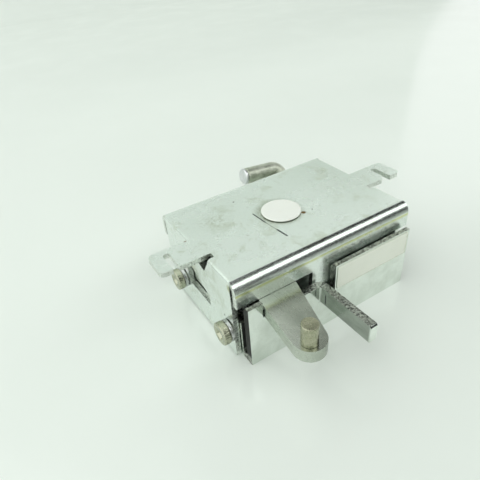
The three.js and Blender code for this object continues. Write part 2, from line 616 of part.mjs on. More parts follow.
// The cap that keeps dirt out of the open end of the pipe.
function pipePlug() {
  const { flange, stem, stemR } = PIPE_PLUG;
  const out = PIPE.end.clone().sub(PIPE.elbow).normalize();
  const tilt = THREE.MathUtils.radToDeg(Math.atan2(out.z, -out.x));
  return move(turned([[0, -stem], [stemR - 0.3, -stem], [stemR, -stem + 0.3], [stemR, GAP], [PIPE.r, GAP],
    [PIPE.r, GAP + flange - 0.6], [PIPE.r - 0.6, GAP + flange], [0, GAP + flange]], 32)
    .rotate([0, tilt - 90, 0]), PIPE.end.x, PIPE.end.y, PIPE.end.z);
}

// ---------- Label ----------

const label = () => prism(
  new THREE.Shape(roundedRect(LABEL.x0, LABEL.x1, LABEL.z0, LABEL.z1, 0.6).getPoints(3)), 0, LABEL.thick, 1)
  .rotate([90, 0, 0]).translate([0, -TRAY.wallOut - LABEL.gap, 0]);

// ---------- Assembly ----------

const gripper = new THREE.Group();

function add(name, solid, material) {
  const mesh = new THREE.Mesh(toGeometry(solid), material);
  mesh.name = name;
  gripper.add(mesh);
}

add('base_tray', baseTray(), STEEL);
add('cover', cover(), ZINC);
add('centre_plug', centrePlug(), WHITE_PLASTIC);
add('label', label(), PAPER);
add('cap_screw_left_front', capScrew(-1, CAP_SCREW_Y.front), SCREW_ZINC);
add('cap_screw_left_rear', capScrew(-1, CAP_SCREW_Y.rear), SCREW_ZINC);
add('cap_screw_right_front', capScrew(1, CAP_SCREW_Y.front), SCREW_ZINC);
add('cap_screw_right_rear', capScrew(1, CAP_SCREW_Y.rear), SCREW_ZINC);
add('lock_washer_left_front', lockWasher(-1, CAP_SCREW_Y.front), STEEL);
add('lock_washer_left_rear', lockWasher(-1, CAP_SCREW_Y.rear), STEEL);
add('lock_washer_right_front', lockWasher(1, CAP_SCREW_Y.front), STEEL);
add('lock_washer_right_rear', lockWasher(1, CAP_SCREW_Y.rear), STEEL);

add('pivot_post', pivotPost(), STEEL);
add('pivot_spacer', pivotSpacer(), STEEL);
add('lever_washer', leverWasher(), STEEL);
add('pivot_clip', pivotClip(), SPRING_STEEL);
add('spring_anchor', springAnchor(), STEEL);
add('return_spring', returnSpring(), SPRING_STEEL);

add('lever', lever(), STEEL);
add('lever_bush', leverBush(), BRONZE);
add('grip_pin', gripPin(), BRASSY);
add('spring_stud', springStud(), STEEL);

add('cylinder_tube', cylinderTube(), ALUMINIUM);
add('cylinder_front_cap', cylinderFrontCap(), ALUMINIUM);
add('cylinder_rear_cap', cylinderRearCap(), ALUMINIUM);
add('rod_seal', rodSeal(), RUBBER);
add('cylinder_mount', cylinderMount(), ALUMINIUM);
add('mount_screw_front', mountScrew(mountScrewYs()[0]), SCREW_ZINC);
add('mount_screw_rear', mountScrew(mountScrewYs()[1]), SCREW_ZINC);

add('piston', piston(), ALUMINIUM);
add('piston_seal', pistonSeal(), RUBBER);
add('piston_nut', pistonNut(), STEEL);
add('piston_rod', pistonRod(), STEEL);
add('rod_clevis', rodClevis(), STEEL);
add('clevis_pin', clevisPin(), STEEL);

add('inlet_fitting', inletFitting(), BRASSY);
add('air_inlet_pipe', airInletPipe(), BRASSY);
add('pipe_plug', pipePlug(), ALUMINIUM);

export default gripper;
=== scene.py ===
"""Looks of the pneumatic gripper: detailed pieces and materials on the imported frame. Metres, +Z up."""

import json
import math

import bmesh
import bpy
from mathutils import Matrix, Vector, noise


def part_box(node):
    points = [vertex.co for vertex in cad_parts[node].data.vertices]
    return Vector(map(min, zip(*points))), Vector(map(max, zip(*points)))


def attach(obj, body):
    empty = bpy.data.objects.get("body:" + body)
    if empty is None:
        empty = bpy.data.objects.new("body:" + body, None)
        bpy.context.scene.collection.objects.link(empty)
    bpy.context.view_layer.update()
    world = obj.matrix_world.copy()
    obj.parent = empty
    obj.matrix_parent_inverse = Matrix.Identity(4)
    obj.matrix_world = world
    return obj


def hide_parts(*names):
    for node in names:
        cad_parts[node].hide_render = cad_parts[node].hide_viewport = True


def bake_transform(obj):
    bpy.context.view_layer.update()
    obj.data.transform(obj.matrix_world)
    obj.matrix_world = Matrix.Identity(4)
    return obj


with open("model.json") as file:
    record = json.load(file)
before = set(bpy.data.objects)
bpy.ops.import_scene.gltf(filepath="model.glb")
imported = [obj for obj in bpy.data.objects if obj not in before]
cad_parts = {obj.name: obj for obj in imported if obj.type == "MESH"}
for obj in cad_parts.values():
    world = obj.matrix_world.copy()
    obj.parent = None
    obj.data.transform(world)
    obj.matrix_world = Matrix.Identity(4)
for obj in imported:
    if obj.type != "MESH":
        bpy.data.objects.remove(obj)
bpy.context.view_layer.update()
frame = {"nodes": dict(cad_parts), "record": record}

MM = 0.001
NODES = frame["nodes"]
SCENE = bpy.context.scene
RECORD = frame["record"]
NODE_SLOT = {part["node"]: part["material_slot"] for part in RECORD["subparts"]}
NODE_BODY = {node: body for body, nodes in RECORD["behaviour"]["bodies"].items() for node in nodes}


# ---------- Sizes of the reworked pieces, in millimetres ----------

COVER = {"half_x": 40.0, "half_y": 28.25, "top": 35.7, "sheet": 2.0, "bend": 4.0, "end_bend": 1.4,
         "end_y": 25.0}
TRAY = {"out": 31.75, "in": 28.75, "half_x": 37.7, "sheet": 3.0, "end_y": 26.4, "top": 26.7}
JAW = {"top": 20.8, "low": 13.6, "left": -7.0, "right": -4.0, "tip_y": -55.75}
GRIP_PIN = {"x": -29.1, "y": -52.0, "r": 2.75, "tenon_r": 1.9, "low": 21.05, "shoulder": 25.75, "top": 33.42}
PLUG = {"x": -1.9, "y": -1.7, "r": 7.8, "stem_r": 4.6, "low": 30.5, "seat": 36.0, "top": 36.7}
CAP_SCREW = {"head_r": 4.35, "head_h": 2.6, "shank_r": 2.5, "length": 11.2, "socket_r": 2.2,
             "socket_depth": 1.6, "knurls": 32, "knurl_depth": 0.13}
PIPE = {"r": 3.8, "bore": 2.6, "bend": 4.0}
PIPE_ROUTE = [Vector(point) for point in (
    (27.5, 35.35, 23.3), (27.5, 37.3, 23.3), (27.5, 41.9, 27.9), (9.2, 41.9, 29.82))]
PIPE_PLUG = {"flange_r": 3.8, "stem_r": 2.2, "stem": 5.0, "dome": 1.58}
SPRING = {"anchor": Vector((-31, 22.6, 12)), "stud": Vector((-31.4, -14.75, 12)), "hook_r": 2.5,
          "coil_r": 1.7, "wire_r": 0.38, "turns": 24}
SMOOTH_FOLD, CAD_FOLD = 24, 6      # facets round a quarter turn of the cover's long fold

# Places of a piece's materials in its list.
SKIN, EDGE, PAINTED_SHADE = 0, 1, 2


def vec(x, y, z):
    """A point given in millimetres."""
    return Vector((x, y, z)) * MM


# ---------- Node materials ----------

class Shader:
    """A Principled material with short calls for the nodes that these finishes share."""

    def __init__(self, name, metallic=0.0, **constants):
        self.material = bpy.data.materials.new(name)
        self.material.use_nodes = True
        self.tree = self.material.node_tree
        self.bsdf = self.tree.nodes["Principled BSDF"]
        self.bsdf.inputs["Metallic"].default_value = metallic
        for key, value in constants.items():
            self.bsdf.inputs[key.replace("_", " ")].default_value = value
        self.place = self.node("ShaderNodeTexCoord").outputs["Object"]

    def node(self, kind, **settings):
        made = self.tree.nodes.new(kind)
        for key, value in settings.items():
            setattr(made, key, value)
        return made

    def feed(self, socket, value):
        if isinstance(value, bpy.types.NodeSocket):
            self.tree.links.new(value, socket)
        elif value is not None:
            socket.default_value = value

    def stretched(self, scale, turn=(0, 0, 0)):
        """The object's place, turned and then scaled, for grain that runs one way."""
        mapping = self.node("ShaderNodeMapping")
        self.feed(mapping.inputs["Vector"], self.place)
        mapping.inputs["Rotation"].default_value = [math.radians(a) for a in turn]
        mapping.inputs["Scale"].default_value = scale
        return mapping.outputs["Vector"]

    def noise(self, size, detail=3.0, rough=0.55, where=None, warp=0.0):
        """Noise whose features are about size millimetres across."""
        made = self.node("ShaderNodeTexNoise")
        self.feed(made.inputs["Vector"], where or self.place)
        made.inputs["Scale"].default_value = 1.0 / (size * MM)
        made.inputs["Detail"].default_value = detail
        made.inputs["Roughness"].default_value = rough
        made.inputs["Distortion"].default_value = warp
        return made.outputs["Fac"]

    def cells(self, size, where):
        """Distance from the middle of cells that are about size millimetres across."""
        made = self.node("ShaderNodeTexVoronoi")
        self.feed(made.inputs["Vector"], where)
        made.inputs["Scale"].default_value = 1.0 / (size * MM)
        return made.outputs["Distance"]

    def math(self, how, a, b=None):
        made = self.node("ShaderNodeMath", operation=how)
        for socket, value in zip(made.inputs, (a, b)):
            self.feed(socket, value)
        return made.outputs["Value"]

    def span(self, value, low, high, to_low=0.0, to_high=1.0):
        """value from low..high to to_low..to_high, smoothly and clamped."""
        made = self.node("ShaderNodeMapRange", interpolation_type="SMOOTHSTEP")
        self.feed(made.inputs["Value"], value)
        for key, number in (("From Min", low), ("From Max", high), ("To Min", to_low), ("To Max", to_high)):
            made.inputs[key].default_value = number
        return made.outputs["Result"]

    def mix(self, share, a, b):
        """Colour a where share is 0, colour b where it is 1."""
        made = self.node("ShaderNodeMix", data_type="RGBA")
        self.feed(made.inputs[0], share)
        for socket, value in ((made.inputs[6], a), (made.inputs[7], b)):
            self.feed(socket, (*value, 1.0) if isinstance(value, tuple) else value)
        return made.outputs[2]

    def axes(self):
        made = self.node("ShaderNodeSeparateXYZ")
        self.feed(made.inputs["Vector"], self.place)
        return made.outputs["X"], made.outputs["Y"], made.outputs["Z"]

    def spot(self, centre, inner, outer, wobble=None):
        """1 inside radius inner of a point, 0 outside radius outer, in millimetres."""
        away = self.node("ShaderNodeVectorMath", operation="DISTANCE")
        self.feed(away.inputs[0], self.place)
        away.inputs[1].default_value = centre
        distance = away.outputs["Value"]
        if wobble is not None:
            distance = self.math("ADD", distance, wobble)
        return self.span(distance, inner * MM, outer * MM, 1.0, 0.0)

    def stroke(self, start, end, width, wobble=None):
        """1 along the segment from start to end, 0 beyond width on either side, in millimetres."""
        a, b = vec(*start), vec(*end)
        length = (b - a).length
        along = (b - a).normalized()
        offset = self.node("ShaderNodeVectorMath", operation="SUBTRACT")
        self.feed(offset.inputs[0], self.place)
        offset.inputs[1].default_value = a
        dot = self.node("ShaderNodeVectorMath", operation="DOT_PRODUCT")
        self.feed(dot.inputs[0], offset.outputs["Vector"])
        dot.inputs[1].default_value = along
        clamped = self.node("ShaderNodeClamp")
        self.feed(clamped.inputs["Value"], dot.outputs["Value"])
        clamped.inputs["Min"].default_value = 0.0
        clamped.inputs["Max"].default_value = length
        foot = self.node("ShaderNodeVectorMath", operation="SCALE")
        foot.inputs[0].default_value = along
        self.feed(foot.inputs["Scale"], clamped.outputs["Result"])
        away = self.node("ShaderNodeVectorMath", operation="DISTANCE")
        self.feed(away.inputs[0], offset.outputs["Vector"])
        self.feed(away.inputs[1], foot.outputs["Vector"])
        distance = away.outputs["Value"]
        if wobble is not None:
            distance = self.math("ADD", distance, wobble)
        return self.span(distance, width * 0.4 * MM, width * MM, 1.0, 0.0)

    def bump(self, height, depth, under=None):
        """A bump of depth millimetres from a 0..1 height."""
        made = self.node("ShaderNodeBump")
        made.inputs["Strength"].default_value = 1.0
        made.inputs["Distance"].default_value = depth * MM
        self.feed(made.inputs["Height"], height)
        self.feed(made.inputs["Normal"], under)
        return made.outputs["Normal"]

    def finish(self, color=None, roughness=None, normal=None):
        self.feed(self.bsdf.inputs["Base Color"], color)
        self.feed(self.bsdf.inputs["Roughness"], roughness)
        self.feed(self.bsdf.inputs["Normal"], normal)
        return self.material


def zinc_sheet():
    """Zinc-plated sheet: cloudy plating, painted shade round the plug and low on the long folds, stains by
    the left end, a scratch, rust spots.
    """
    s = Shader("zinc_sheet", metallic=1.0)
    x, y, z = s.axes()
    top = COVER["top"]
    cloud = s.noise(14, 4, 0.6)
    fine = s.noise(0.7, 5, 0.7)
    pits = s.noise(0.45, 4, 0.75)
    rolled = s.noise(6, 4, 0.6, s.stretched((0.12, 1, 1)))
    to_right = s.span(x, 8 * MM, 38 * MM)
    color = s.mix(cloud, (0.77, 0.825, 0.785), (0.85, 0.90, 0.87))
    color = s.mix(s.math("MULTIPLY", to_right, 0.40), color, (0.62, 0.68, 0.62))
    color = s.mix(s.span(s.noise(9, 5, 0.65, warp=0.6), 0.52, 0.70, 0, 0.5), color, (0.56, 0.60, 0.49))
    color = s.mix(s.span(s.noise(1.6, 4, 0.7), 0.60, 0.74, 0, 0.5), color, (0.46, 0.49, 0.39))
    color = s.mix(s.span(pits, 0.62, 0.70, 0, 0.6), color, (0.34, 0.37, 0.30))

    # Painted shade: a dark mottled ring on the plate round the plug.
    wide = s.math("MULTIPLY", cloud, 3 * MM)
    ring = s.math("MULTIPLY", s.spot(vec(-2.3, -1.0, top), 8.0, 12.5, wide), s.span(fine, 0.35, 0.6, 0.25, 1))
    color = s.mix(ring, color, (0.36, 0.39, 0.30))
    grime = s.math("MULTIPLY", s.spot(vec(-25.7, 8.7, top), 2, 14, s.math("MULTIPLY", cloud, 8 * MM)),
                   s.span(s.noise(1.1, 5, 0.7), 0.42, 0.62))
    color = s.mix(s.math("MULTIPLY", grime, 0.6), color, (0.44, 0.47, 0.36))

    wobble = s.math("MULTIPLY", s.math("SUBTRACT", s.noise(0.8, 3), 0.5), 0.6 * MM)
    rust = s.math("MAXIMUM", s.spot(vec(4.4, -7.7, top), 0.5, 1.2, wobble),
                  s.spot(vec(-41.0, 4.2, top), 0.4, 0.8, wobble))
    dots = s.math("MAXIMUM", s.spot(vec(-12.7, 16.3, top), 0.3, 0.5, wobble),
                  s.math("MAXIMUM", s.spot(vec(8.5, -7.9, top), 0.2, 0.4),
                         s.spot(vec(-40, -19.1, 16.5), 0.25, 0.5)))
    color = s.mix(rust, color, (0.24, 0.15, 0.06))
    color = s.mix(dots, color, (0.07, 0.08, 0.06))

    faint = s.math("MULTIPLY", s.stroke((-11.1, -4.0, top), (-10.4, -11.0, top), 0.22), 0.45)
    dark = s.math("MAXIMUM", s.stroke((-11.5, 3.6, top), (-11.1, -4.0, top), 0.34),
                  s.stroke((-10.4, -11.0, top), (-9.9, -16.0, top), 0.46))
    gaps = s.span(s.noise(2.6, 2, where=s.stretched((1, 1, 0))), 0.34, 0.46, 0.35, 1)
    scratch = s.math("MULTIPLY", gaps, s.math("MAXIMUM", faint, dark))
    color = s.mix(scratch, color, (0.035, 0.05, 0.05))

    fold_z = (top - COVER["bend"]) * MM
    outward = s.math("ABSOLUTE", y)
    on_fold = s.math("MULTIPLY", s.span(z, fold_z - 0.3 * MM, fold_z + 0.3 * MM),
                     s.span(outward, 24.3 * MM, 25.0 * MM))
    seam = s.math("MULTIPLY", s.span(z, fold_z + 0.15 * MM, fold_z - 0.1 * MM),
                  s.span(z, fold_z - 1.5 * MM, fold_z - 0.5 * MM))
    seam = s.math("MULTIPLY", seam, s.span(outward, 27.6 * MM, 28.0 * MM))
    seam = s.math("MULTIPLY", seam, s.span(s.noise(3, 3), 0.3, 0.5, 0.45, 1.0))
    color = s.mix(seam, color, (0.62, 0.65, 0.36))
    # Painted shade: a dark band low on each long fold, for the dark surroundings the fold mirrors there.
    fold_painted_shade = s.math("MULTIPLY", s.span(z, fold_z + 0.2 * MM, fold_z + 0.6 * MM),
                      s.span(z, fold_z + 2.3 * MM, fold_z + 1.6 * MM))
    fold_painted_shade = s.math("MULTIPLY", fold_painted_shade, s.span(outward, 25.0 * MM, 26.0 * MM))
    fold_painted_shade = s.math("MULTIPLY", fold_painted_shade, s.span(pits, 0.3, 0.6, 0.75, 0.25))
    color = s.mix(fold_painted_shade, color, (0.16, 0.18, 0.16))
    corner = s.math("MULTIPLY", s.spot(vec(-39.4, -25.0, 32.6), 0.9, 2.2, wobble), 0.8)
    color = s.mix(corner, color, (0.40, 0.42, 0.18))

    roughness = s.span(cloud, 0.25, 0.75, 0.20, 0.31)
    roughness = s.math("ADD", roughness, s.math("MULTIPLY", s.math("SUBTRACT", fine, 0.5), 0.10))
    roughness = s.math("SUBTRACT", roughness, s.math("MULTIPLY", on_fold, 0.17))
    roughness = s.math("ADD", roughness, s.math("MULTIPLY", rust, 0.4))
    normal = s.bump(fine, 0.008)
    normal = s.bump(rolled, 0.03, normal)
    normal = s.bump(s.noise(2.2, 3), 0.02, normal)
    crinkle = s.math("MULTIPLY", on_fold, s.noise(0.75, 4, 0.8, s.stretched((1.8, 0.7, 0.7))))
    normal = s.bump(crinkle, 0.10, normal)
    normal = s.bump(scratch, -0.12, normal)
    return s.finish(color, roughness, normal)


def sheared_edge(name, tint, tear, speck, depth):
    """The torn, mottled thickness of cut plate: dark tears, bright specks."""
    s = Shader(name, metallic=1.0)
    torn = s.cells(0.7, s.stretched((1, 1, 0.7)))
    grit = s.noise(0.4, 4, 0.7)
    patch = s.noise(0.9, 4, 0.75, warp=0.8)
    color = s.mix(s.span(patch, 0.40, 0.60), tuple(c * tear for c in tint), tint)
    color = s.mix(s.span(s.noise(5, 3), 0.42, 0.62, 0, 0.6), color, tuple(c * (tear + 0.15) for c in tint))
    color = s.mix(s.span(grit, 0.60, 0.66, 0, speck), color, (0.97, 0.99, 0.98))
    normal = s.bump(torn, depth)
    normal = s.bump(grit, depth * 0.6, normal)
    return s.finish(color, s.span(patch, 0.3, 0.7, 0.22, 0.42), normal)


def corner_shade():
    """Painted shade: near-black on the cut edges deep in the open corners."""
    s = Shader("corner_shade", metallic=0.3)
    _, _, z = s.axes()
    patch = s.noise(1.6, 4, 0.7, warp=0.5)
    color = s.mix(s.span(patch, 0.35, 0.65), (0.012, 0.013, 0.012), (0.035, 0.038, 0.034))
    # Painted light: a mottled lighter patch near the bottom of the corners.
    low = s.math("MULTIPLY", s.span(z, 4.5 * MM, 2.5 * MM), s.span(s.noise(1.0, 3), 0.35, 0.6))
    color = s.mix(low, color, (0.45, 0.48, 0.42))
    return s.finish(color, s.span(patch, 0.3, 0.7, 0.5, 0.8), s.bump(patch, 0.05))


def tray_steel():
    """Bright-plated thick sheet, polished enough to mirror the finger and the bar beside it; painted shade
    darkens the jaw bar.
    """
    s = Shader("tray_steel", metallic=1.0)
    cloud = s.noise(8, 4, 0.6, warp=0.4)
    fine = s.noise(0.6, 5, 0.7)
    drawn = s.noise(5, 4, 0.6, s.stretched((0.15, 1, 1)))
    color = s.mix(s.span(cloud, 0.3, 0.7), (0.66, 0.71, 0.65), (0.80, 0.85, 0.80))
    color = s.mix(s.span(s.noise(1.4, 4, 0.7), 0.60, 0.76, 0, 0.4), color, (0.42, 0.45, 0.36))
    color = s.mix(s.span(fine, 0.66, 0.76, 0, 0.4), color, (0.34, 0.38, 0.33))
    wobble = s.math("MULTIPLY", s.math("SUBTRACT", s.noise(0.8, 3), 0.5), 0.6 * MM)
    ticks = s.math("MAXIMUM", s.stroke((-31.75, -31.75, 24.0), (-31.75, -31.75, 20.9), 0.42, wobble),
                   s.stroke((-7, -34.4, 18.5), (-7, -34.4, 14.6), 0.34, wobble))
    _, y, _ = s.axes()
    # Painted shade: the jaw bar darkened, mottled, for the dark surroundings it mirrors.
    on_bar = s.math("MULTIPLY", s.span(y, -31.8 * MM, -32.0 * MM), s.span(y, -55.6 * MM, -54.9 * MM))
    bar_shade_mottle = s.span(s.noise(3.5, 4, 0.6, s.stretched((1, 0.35, 1))), 0.3, 0.7, 0.65, 1.0)
    color = s.mix(s.math("MULTIPLY", on_bar, bar_shade_mottle), color, (0.34, 0.37, 0.33))
    color = s.mix(ticks, color, (0.03, 0.04, 0.04))
    roughness = s.span(cloud, 0.3, 0.7, 0.10, 0.19)
    roughness = s.math("ADD", roughness, s.math("MULTIPLY", s.math("SUBTRACT", fine, 0.5), 0.08))
    normal = s.bump(fine, 0.005)
    normal = s.bump(drawn, 0.035, normal)
    normal = s.bump(ticks, -0.08, normal)
    return s.finish(color, roughness, normal)


def finger_steel():
    """Dull ground plate with grinding lines along the finger; painted shade darkens it towards the root by
    the cover, and painted light lightens it towards its left end.
    """
    s = Shader("finger_steel", metallic=1.0)
    x, y, _ = s.axes()
    cloud = s.noise(9, 4, 0.6, warp=0.5)
    lines = s.noise(0.55, 4, 0.65, s.stretched((1, 0.1, 1)))
    color = s.mix(s.span(cloud, 0.3, 0.7), (0.27, 0.30, 0.25), (0.40, 0.43, 0.37))
    # Painted light: the finger lighter towards its left end.
    color = s.mix(s.span(x, -25 * MM, -33 * MM, 0, 0.7), color, (0.58, 0.62, 0.55))
    # Painted shade: the finger darker towards its root, below the cover.
    color = s.mix(s.span(y, -39 * MM, -30 * MM, 0, 0.55), color, (0.17, 0.19, 0.155))
    color = s.mix(s.span(lines, 0.56, 0.78, 0, 0.15), color, (0.62, 0.66, 0.60))
    color = s.mix(s.span(s.noise(1.2, 4, 0.7), 0.64, 0.76, 0, 0.5), color, (0.12, 0.14, 0.11))
    roughness = s.span(s.math("ADD", s.math("MULTIPLY", cloud, 0.6), s.math("MULTIPLY", lines, 0.4)),
                       0.3, 0.7, 0.20, 0.33)
    normal = s.bump(lines, 0.004)
    normal = s.bump(s.noise(3, 3), 0.02, normal)
    return s.finish(color, roughness, normal)


def plate(name, light, dark, rough, grain, grain_depth, blotch):
    """Flat worked metal: cloudy tint, a directional grain, and fine dents."""
    s = Shader(name, metallic=1.0)
    cloud = s.noise(blotch, 4, 0.6, warp=0.4)
    lines = s.noise(0.5, 4, 0.6, s.stretched(grain))
    color = s.mix(s.span(cloud, 0.3, 0.7), dark, light)
    color = s.mix(s.span(lines, 0.55, 0.8, 0, 0.3), color, tuple(min(1.0, c * 1.2) for c in light))
    color = s.mix(s.span(s.noise(1.2, 4, 0.7), 0.66, 0.78, 0, 0.45), color, tuple(c * 0.5 for c in dark))
    roughness = s.span(s.math("ADD", s.math("MULTIPLY", cloud, 0.6), s.math("MULTIPLY", lines, 0.4)),
                       0.3, 0.7, *rough)
    normal = s.bump(lines, grain_depth)
    normal = s.bump(s.noise(3, 3), 0.025, normal)
    return s.finish(color, roughness, normal)


def rubber():
    s = Shader("rubber", Roughness=0.7)
    fine = s.noise(0.2, 4)
    return s.finish(s.mix(fine, (0.018, 0.018, 0.018), (0.04, 0.04, 0.04)),
                    s.span(fine, 0.3, 0.7, 0.6, 0.8), s.bump(fine, 0.01))


def white_plastic():
    s = Shader("white_plastic", IOR=1.5)
    cloud = s.noise(4, 4, 0.6)
    fine = s.noise(0.25, 4, 0.6)
    color = s.mix(cloud, (0.86, 0.88, 0.82), (0.90, 0.915, 0.865))
    color = s.mix(s.span(s.noise(1.2, 4, 0.7), 0.62, 0.75, 0, 0.12), color, (0.62, 0.60, 0.50))
    streaks = s.span(s.noise(3, 3, where=s.stretched((3, 0.5, 1))), 0.62, 0.7, 0, 0.10)
    color = s.mix(streaks, color, (0.7, 0.68, 0.58))
    return s.finish(color, s.span(fine, 0.3, 0.7, 0.34, 0.5), s.bump(fine, 0.006))


def label_paper():
    s = Shader("label_paper", IOR=1.45)
    cloud = s.noise(5, 4, 0.6)
    fibre = s.noise(0.35, 4, 0.7, s.stretched((0.4, 1, 1)))
    x, _, z = s.axes()
    color = s.mix(cloud, (0.82, 0.85, 0.75), (0.88, 0.90, 0.81))
    color = s.mix(s.span(fibre, 0.55, 0.8, 0, 0.2), color, (0.86, 0.88, 0.78))
    edge = s.math("MAXIMUM", s.span(x, 35.4 * MM, 36.8 * MM), s.span(z, 16.6 * MM, 15.8 * MM))
    color = s.mix(s.math("MULTIPLY", edge, s.span(s.noise(1.1, 4, 0.7), 0.4, 0.6, 0.1, 0.6)), color,
                  (0.50, 0.52, 0.38))
    return s.finish(color, s.span(fibre, 0.3, 0.7, 0.42, 0.62), s.bump(fibre, 0.012))


FINISH = {
    "zinc_sheet": zinc_sheet(),
    "tray_steel": tray_steel(),
    "finger_steel": finger_steel(),
    "bright_steel": plate("bright_steel", (0.66, 0.67, 0.66), (0.50, 0.51, 0.50), (0.2, 0.34),
                          (1, 1, 0.15), 0.006, 4),
    "spring_steel": plate("spring_steel", (0.56, 0.57, 0.58), (0.36, 0.37, 0.38), (0.24, 0.36),
                          (1, 1, 1), 0.006, 3),
    "screw_zinc": plate("screw_zinc", (0.53, 0.54, 0.42), (0.39, 0.40, 0.30), (0.22, 0.34),
                        (1, 1, 1), 0.005, 3),
    "brassy_steel": plate("brassy_steel", (0.46, 0.455, 0.34), (0.31, 0.32, 0.22), (0.22, 0.34),
                          (1, 1, 0.1), 0.02, 2),
    "inlet_brass": plate("inlet_brass", (0.66, 0.69, 0.60), (0.46, 0.49, 0.40), (0.42, 0.58),
                         (0.5, 1, 1), 0.05, 3),
    "bronze": plate("bronze", (0.62, 0.46, 0.26), (0.46, 0.32, 0.17), (0.3, 0.45), (1, 1, 1), 0.01, 3),
    "aluminium": plate("aluminium", (0.76, 0.77, 0.78), (0.62, 0.63, 0.64), (0.26, 0.4),
                       (0.1, 1, 1), 0.008, 6),
    "rubber": rubber(),
    "white_plastic": white_plastic(),
    "label_paper": label_paper(),
}
SHEARED = sheared_edge("sheared_edge", (0.66, 0.70, 0.62), 0.14, 0.95, 0.16)
CUT_EDGE = sheared_edge("cut_edge", (0.86, 0.90, 0.84), 0.6, 0.6, 0.05)
CORNER_SHADE = corner_shade()


# ---------- Geometry helpers ----------

def copied(node):
    """The CAD node's mesh as one welded bmesh with its flat faces whole."""
    bm = bmesh.new()
    bm.from_mesh(NODES[node].data)
    bmesh.ops.remove_doubles(bm, verts=bm.verts, dist=0.002 * MM)
    bmesh.ops.dissolve_limit(bm, angle_limit=math.radians(0.4), verts=bm.verts, edges=bm.edges)
    return bm


def piece(name, bm, body, nodes, materials, bevel=0.0):
    """A piece made from bm, that stands for nodes. It rides on body unless that is None."""
    mesh = bpy.data.meshes.new(name)
    bm.to_mesh(mesh)
    bm.free()
    for material in materials:
        mesh.materials.append(material)
    for polygon in mesh.polygons:
        polygon.use_smooth = True
    made = bpy.data.objects.new(name, mesh)
    SCENE.collection.objects.link(made)
    if bevel:
        mod = made.modifiers.new("worn edges", "BEVEL")
        mod.width = bevel * MM
        mod.segments = 2
        mod.limit_method = "ANGLE"
        mod.angle_limit = math.radians(32)
        mod.harden_normals = False
        mod.use_clamp_overlap = True
    weighted = made.modifiers.new("flat shading", "WEIGHTED_NORMAL")
    weighted.keep_sharp = True
    weighted.weight = 80
    if body is not None:
        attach(made, body)
    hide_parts(*nodes)
    return made


def sheared_faces(bm, is_skin):
    """Gives every face that isn't part of the sheet's skin the edge's material."""
    for face in bm.faces:
        if not is_skin(face.normal, face.calc_center_median() / MM):
            face.material_index = EDGE


def near(value, *targets):
    """True when value is one of targets, in millimetres, to within 0.02."""
    return any(abs(value - target) < 0.02 for target in targets)


def cut(bm, inside, point, normal):
    """Cuts the faces that inside accepts along the plane through point, across normal."""
    faces = [face for face in bm.faces if inside(face.calc_center_median() / MM)]
    edges = dict.fromkeys(edge for face in faces for edge in face.edges)
    verts = dict.fromkeys(vert for face in faces for vert in face.verts)
    bmesh.ops.bisect_plane(bm, geom=[*faces, *edges, *verts], dist=0.001 * MM, plane_co=point,
                           plane_no=normal)


def cut_along(bm, inside, axis, places):
    """Cuts the faces that inside accepts across axis at each of places."""
    for place in places:
        cut(bm, inside, Vector(axis) * place * MM, axis)


def steps(start, end, step):
    """Evenly spaced places after start and before end."""
    count = int((end - start) / step)
    return [start + step * k for k in range(1, count + 1) if start + step * k < end - 0.05]


# ---------- Cover ----------

def cover_skin(normal, centre):
    """True on the sheet's two broad sides: the lid, the flanges and the folds between them."""
    x, y, z = (abs(c) for c in centre)
    nx, ny, nz = (abs(n) for n in normal)
    top, sheet = COVER["top"], COVER["sheet"]
    half_x, half_y = COVER["half_x"], COVER["half_y"]
    flat = (nz > 0.99 and near(z, top, top - sheet)) or (ny > 0.99 and near(y, half_y, half_y - sheet)) \
        or (nx > 0.99 and near(x, half_x, half_x - sheet))
    slanting = 0.01 < nz < 0.9999 and z > top - COVER["bend"] - 0.1
    folded = slanting and ((ny > 0.01 and nx < 0.01 and y > half_y - COVER["bend"] - 0.1)
                           or (nx > 0.01 and ny < 0.01 and x > half_x - COVER["end_bend"] - 0.3))
    return flat or folded


def round_fold(bm, side):
    """Cuts the cover's long fold finer and moves the new edges onto the true arc."""
    axis_y, axis_z = side * (COVER["half_y"] - COVER["bend"]), COVER["top"] - COVER["bend"]
    outer = COVER["bend"]
    inner = outer - COVER["sheet"]

    def in_fold(c):
        return c.y * side > axis_y * side - 0.01 and c.z > axis_z - 0.01

    for k in range(1, SMOOTH_FOLD):
        if k % (SMOOTH_FOLD // CAD_FOLD):
            angle = math.pi / 2 * k / SMOOTH_FOLD
            cut(bm, in_fold, vec(0, axis_y, axis_z), (0, -side * math.sin(angle), math.cos(angle)))
    for v in bm.verts:
        _, y, z = v.co / MM
        away = Vector((0, y - axis_y, z - axis_z))
        if y * side < axis_y * side or z < axis_z or away.length < inner * 0.9:
            continue
        for radius in (inner, outer):
            if 0.98 * radius < away.length < radius:
                v.co += away.normalized() * (radius - away.length) * MM


def build_cover():
    bm = copied("cover")
    sheared_faces(bm, cover_skin)
    for face in bm.faces:
        y = face.calc_center_median().y / MM
        if face.normal.y * y > 0 and abs(face.normal.y) > 0.99 and near(abs(y), COVER["end_y"]):
            face.material_index = EDGE
    round_fold(bm, 1)
    round_fold(bm, -1)
    piece("cover_sheet", bm, "base", ["cover"], [FINISH["zinc_sheet"], CUT_EDGE], 0.18)


# ---------- Tray with the fixed jaw ----------

